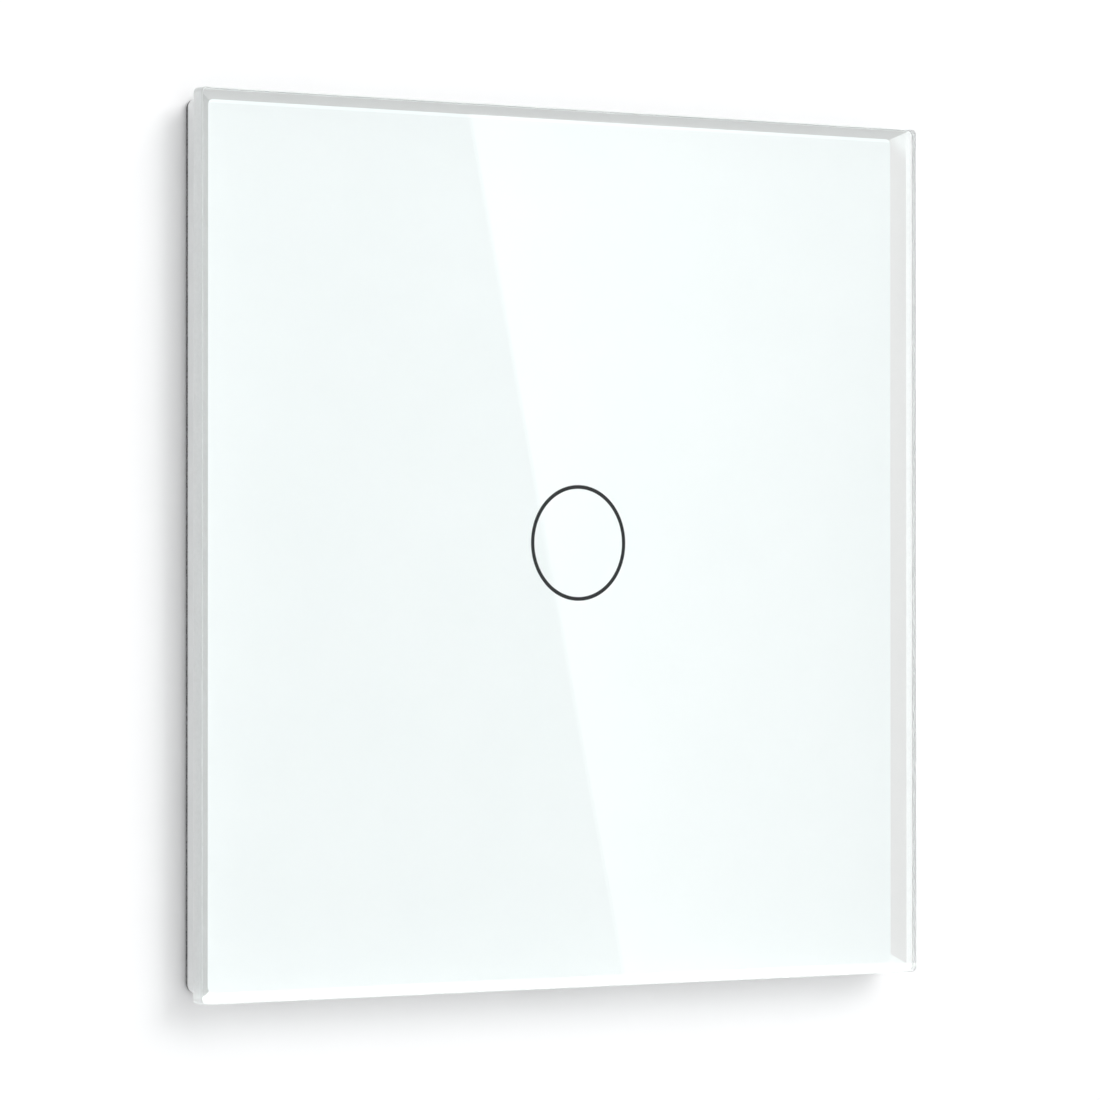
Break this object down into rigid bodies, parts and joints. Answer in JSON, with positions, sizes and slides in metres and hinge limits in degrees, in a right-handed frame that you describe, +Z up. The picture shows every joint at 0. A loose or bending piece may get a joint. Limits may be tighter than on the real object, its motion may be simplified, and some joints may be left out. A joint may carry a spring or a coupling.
{
  "type": "touch light switch",
  "caption": "Square glass touch switch for a round wall box, with a pull-off front panel, relay module and screw terminals.",
  "frame": {"origin": "middle of the fixing slots, on the wall plane behind the support plate", "axes": "+X to the right seen from the front, +Y into the wall, +Z up; the glass faces -Y"},
  "size_m": [0.08, 0.0341, 0.08],
  "materials": {
    "clear_glass": "polished, with ground edges",
    "white_enamel": "fired enamel",
    "grey_enamel": "fired enamel",
    "dark_ink": "printed ink",
    "tape": "bonding tape",
    "grey_plastic": "fine moulded grain",
    "spring_steel": "rolled strip",
    "foam": "closed-cell foam",
    "zinc_steel": "zinc plated sheet",
    "screw_steel": "zinc plated",
    "white_plastic": "fine moulded grain",
    "clear_plastic": "polished clear moulding",
    "spring_wire": "plated wire",
    "board": "solder mask",
    "lamp": "cast resin",
    "black_plastic": "moulded",
    "tinned": "tinned",
    "ceramic": "fired ceramic",
    "gold_plate": "gold flash",
    "blue_plastic": "moulded",
    "cream_plastic": "moulded",
    "copper": "enamelled copper wire",
    "soft_iron": "nickel plated",
    "contact_bronze": "bronze strip",
    "sleeve": "shrink sleeve",
    "yellow_plastic": "moulded",
    "blue_epoxy": "dipped epoxy",
    "tan_cement": "cement coat",
    "ferrite": "pressed ferrite",
    "green_plastic": "moulded",
    "brass_bar": "rolled strip",
    "cage_steel": "zinc plated"
  },
  "bodies": {
    "module": {"support_plate": "zinc_steel", "body_screws": "screw_steel", "sensor_cover": "white_plastic", "light_guide": "clear_plastic", "touch_spring": "spring_wire", "sensor_board": "board", "status_leds": "lamp", "touch_chip": "black_plastic", "chip_leads": "tinned", "small_parts": "ceramic", "header_block": "black_plastic", "header_socket": "black_plastic", "header_pins": "gold_plate", "board_spacers": "white_plastic", "power_board": "board", "relay_base": "black_plastic", "relay_case": "blue_plastic", "relay_pins": "tinned", "relay_bobbin": "cream_plastic", "relay_coil": "copper", "relay_frame": "soft_iron", "relay_fixed_contact": "contact_bronze", "smoothing_capacitor": "sleeve", "dropper_capacitor": "yellow_plastic", "surge_varistor": "blue_epoxy", "fuse_resistor": "tan_cement", "choke_core": "ferrite", "choke_winding": "copper", "rectifier_chip": "black_plastic", "component_leads": "tinned", "terminal_block": "green_plastic", "terminal_bars": "brass_bar", "rear_housing": "white_plastic"},
    "front_panel": {"glass_panel": "clear_glass", "field_print": "white_enamel", "border_print": "grey_enamel", "ring_mark": "dark_ink", "bond_tape": "tape", "holder_frame": "grey_plastic", "panel_clips": "spring_steel", "wall_gasket": "foam"},
    "armature": {"relay_armature": "soft_iron", "relay_moving_contact": "contact_bronze"},
    "screw_1": {"terminal_screw_1": "screw_steel"},
    "screw_2": {"terminal_screw_2": "screw_steel"},
    "screw_3": {"terminal_screw_3": "screw_steel"},
    "cage_1": {"terminal_cage_1": "cage_steel"},
    "cage_2": {"terminal_cage_2": "cage_steel"},
    "cage_3": {"terminal_cage_3": "cage_steel"}
  },
  "joints": [
    {"name": "panel_pull", "type": "slide", "parent": "module", "child": "front_panel", "axis": [0, -1, 0], "range_m": [0, 0.03], "deforming": ["panel_clips"]},
    {"name": "armature_tip", "type": "hinge", "parent": "module", "child": "armature", "pos_m": [-0.0116, 0.02105, 0.01425], "axis": [-1, 0, 0], "range_deg": [0, 4.8], "stiffness_Nm_per_rad": 0.05},
    {"name": "screw_turn_1", "type": "hinge", "parent": "module", "child": "screw_1", "pos_m": [-0.011, 0.0265, -0.0175], "axis": [0, -1, 0], "range_deg": [0, 2071]},
    {"name": "cage_rise_1", "type": "slide", "parent": "module", "child": "cage_1", "axis": [0, 1, 0], "range_m": [0, 0.00287]},
    {"name": "screw_turn_2", "type": "hinge", "parent": "module", "child": "screw_2", "pos_m": [0, 0.0265, -0.0175], "axis": [0, -1, 0], "range_deg": [0, 2071]},
    {"name": "cage_rise_2", "type": "slide", "parent": "module", "child": "cage_2", "axis": [0, 1, 0], "range_m": [0, 0.00287]},
    {"name": "screw_turn_3", "type": "hinge", "parent": "module", "child": "screw_3", "pos_m": [0.011, 0.0265, -0.0175], "axis": [0, -1, 0], "range_deg": [0, 2071]},
    {"name": "cage_rise_3", "type": "slide", "parent": "module", "child": "cage_3", "axis": [0, 1, 0], "range_m": [0, 0.00287]}
  ],
  "couplings": [
    {"joint": "screw_turn_1", "follows": "cage_rise_1", "rad_per_m": 12566},
    {"joint": "screw_turn_2", "follows": "cage_rise_2", "rad_per_m": 12566},
    {"joint": "screw_turn_3", "follows": "cage_rise_3", "rad_per_m": 12566}
  ]
}
